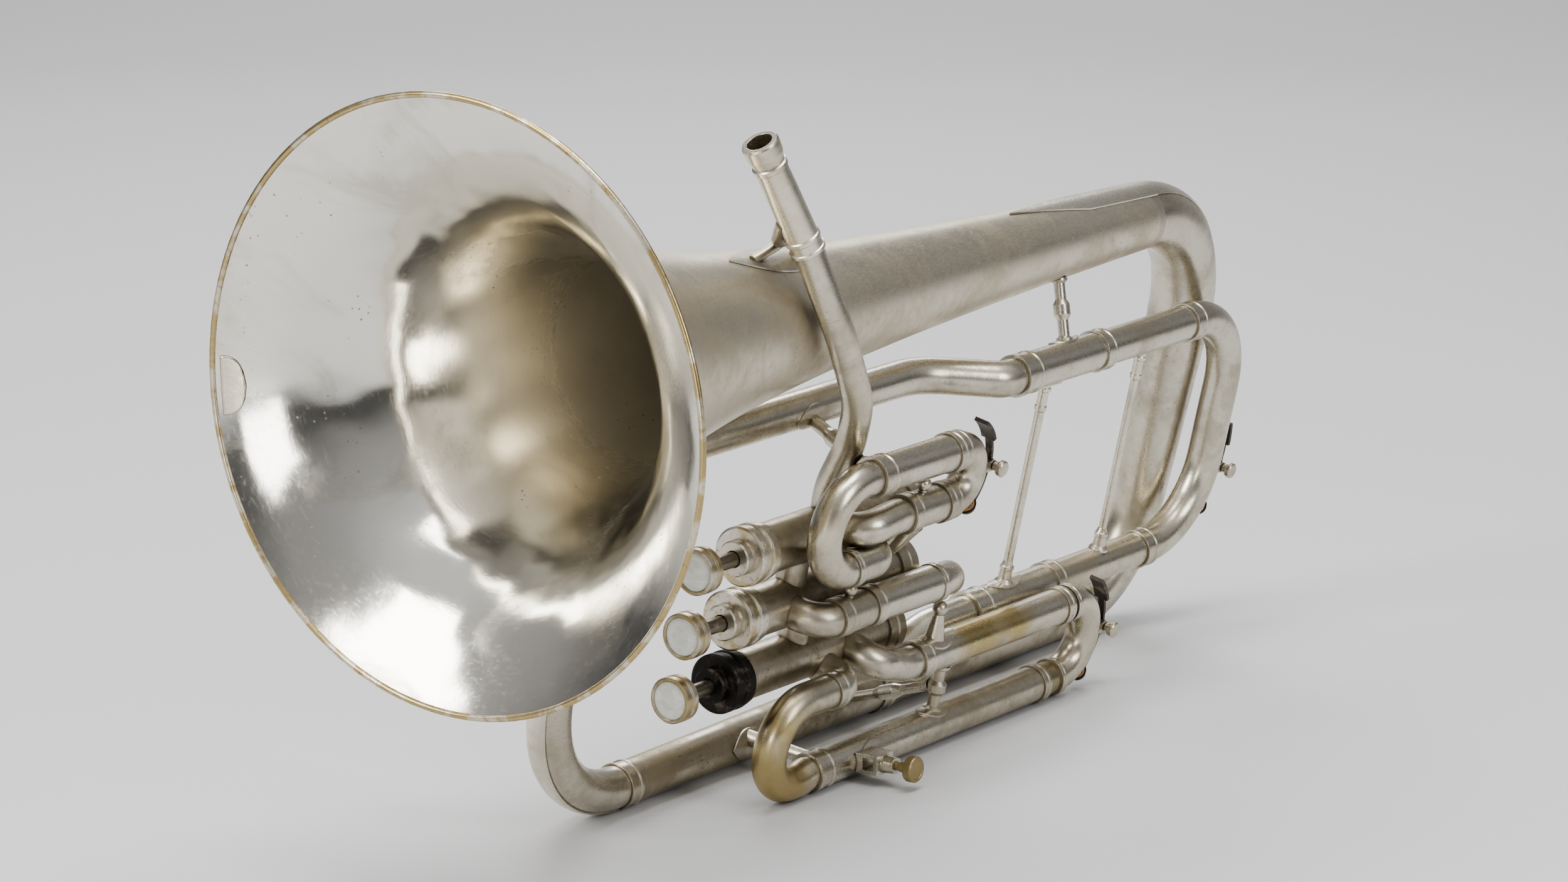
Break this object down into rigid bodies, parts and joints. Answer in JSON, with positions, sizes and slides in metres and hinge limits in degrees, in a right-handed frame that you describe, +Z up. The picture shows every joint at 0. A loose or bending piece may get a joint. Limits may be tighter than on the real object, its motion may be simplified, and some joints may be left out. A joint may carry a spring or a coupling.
{
  "type": "tuba",
  "caption": "Tenor tuba lying on its side: flared bell, looped conical tubing, piston valves, pull-out tuning slides and water keys.",
  "frame": {"origin": "on the floor, under the centre of the overall box", "axes": "+X from the bell mouth towards the bottom bow, +Y away from the valves, +Z up from the floor it lies on"},
  "size_m": [0.6604, 0.2824, 0.3797],
  "materials": {
    "silver_plate": "worn silver plate over brass, bright with tarnish",
    "bare_brass": "brass showing where plating has worn away",
    "black_cap": "blackened",
    "pearl": "pearly inlay",
    "spring_steel": "drawn wire",
    "dark_steel": "dull, oxidised",
    "valve_metal": "lapped, oiled",
    "cork": "natural cork"
  },
  "bodies": {
    "instrument": {"bell": "silver_plate", "bell_rim_wire": "bare_brass", "bottom_bow": "silver_plate", "bottom_bow_guard": "silver_plate", "return_tube": "silver_plate", "top_bow": "silver_plate", "top_bow_guard": "silver_plate", "forward_tube": "silver_plate", "main_outer_tubes": "silver_plate", "valve_3_outlet": "silver_plate", "receiver": "silver_plate", "leadpipe": "silver_plate", "receiver_bracket": "silver_plate", "valve_casing_1": "silver_plate", "valve_casing_2": "silver_plate", "valve_casing_3": "silver_plate", "top_cap_1": "silver_plate", "top_cap_2": "silver_plate", "top_cap_3": "black_cap", "bottom_caps": "silver_plate", "valve_knuckles": "silver_plate", "slide_1_branches": "silver_plate", "slide_1_outer_tubes": "silver_plate", "slide_2_branches": "silver_plate", "slide_2_outer_tubes": "silver_plate", "slide_3_branches": "silver_plate", "slide_3_outer_tubes": "silver_plate", "bell_post": "silver_plate", "main_slide_rod": "silver_plate", "front_post": "silver_plate", "valve_stays": "silver_plate", "return_tube_brace": "silver_plate", "ferrules": "silver_plate", "lyre_holder": "silver_plate", "valve_spring_1": "spring_steel", "valve_spring_2": "spring_steel", "valve_spring_3": "spring_steel"},
    "piston_1_body": {"piston_1": "valve_metal", "finger_button_1": "bare_brass", "pearl_1": "pearl"},
    "piston_2_body": {"piston_2": "valve_metal", "finger_button_2": "bare_brass", "pearl_2": "pearl"},
    "piston_3_body": {"piston_3": "valve_metal", "finger_button_3": "bare_brass", "pearl_3": "pearl"},
    "main_slide": {"main_slide_legs": "silver_plate", "main_slide_bow": "silver_plate", "main_slide_stay": "silver_plate"},
    "slide_1": {"slide_1_bow": "silver_plate"},
    "slide_2": {"slide_2_bow": "silver_plate"},
    "slide_3": {"slide_3_bow": "silver_plate"},
    "water_key_main_body": {"water_key_main": "dark_steel", "water_key_cork_main": "cork"},
    "water_key_1_body": {"water_key_1": "dark_steel", "water_key_cork_1": "cork"},
    "water_key_3_body": {"water_key_3": "dark_steel", "water_key_cork_3": "cork"},
    "lyre_screw": {"lyre_thumbscrew": "bare_brass"}
  },
  "joints": [
    {"name": "valve_1_press", "type": "slide", "parent": "instrument", "child": "piston_1_body", "axis": [1, 0, 0], "range_m": [0, 0.015], "stiffness_N_per_m": 160, "springref_m": -0.012, "deforming": ["valve_spring_1"]},
    {"name": "valve_2_press", "type": "slide", "parent": "instrument", "child": "piston_2_body", "axis": [1, 0, 0], "range_m": [0, 0.015], "stiffness_N_per_m": 160, "springref_m": -0.012, "deforming": ["valve_spring_2"]},
    {"name": "valve_3_press", "type": "slide", "parent": "instrument", "child": "piston_3_body", "axis": [1, 0, 0], "range_m": [0, 0.015], "stiffness_N_per_m": 160, "springref_m": -0.012, "deforming": ["valve_spring_3"]},
    {"name": "main_slide_pull", "type": "slide", "parent": "instrument", "child": "main_slide", "axis": [1, 0, 0], "range_m": [-0.028, 0.03]},
    {"name": "slide_1_pull", "type": "slide", "parent": "instrument", "child": "slide_1", "axis": [1, 0, 0], "range_m": [0, 0.02]},
    {"name": "slide_2_pull", "type": "slide", "parent": "instrument", "child": "slide_2", "axis": [1, 0, 0], "range_m": [0, 0.015]},
    {"name": "slide_3_pull", "type": "slide", "parent": "instrument", "child": "slide_3", "axis": [1, 0, 0], "range_m": [-0.0025, 0.04]},
    {"name": "water_key_main_press", "type": "hinge", "parent": "main_slide", "child": "water_key_main_body", "pos_m": [0.32602, 0.00349, 0.08715], "axis": [0, -0.9753, -0.2207], "range_deg": [0, 10], "stiffness_Nm_per_rad": 0.12, "springref_deg": -17.19},
    {"name": "water_key_1_press", "type": "hinge", "parent": "slide_1", "child": "water_key_1_body", "pos_m": [0.03829, -0.03933, 0.14953], "axis": [0, -0.9753, -0.2207], "range_deg": [0, 10], "stiffness_Nm_per_rad": 0.12, "springref_deg": -17.19},
    {"name": "water_key_3_press", "type": "hinge", "parent": "slide_3", "child": "water_key_3_body", "pos_m": [0.18464, -0.01255, 0.03117], "axis": [0, -0.9753, -0.2207], "range_deg": [0, 8], "stiffness_Nm_per_rad": 0.12, "springref_deg": -17.19},
    {"name": "lyre_screw_turn", "type": "hinge", "parent": "instrument", "child": "lyre_screw", "pos_m": [-0.03491, -0.03791, 0.01064], "axis": [0, -1, 0], "range_deg": [-360, 360]}
  ]
}
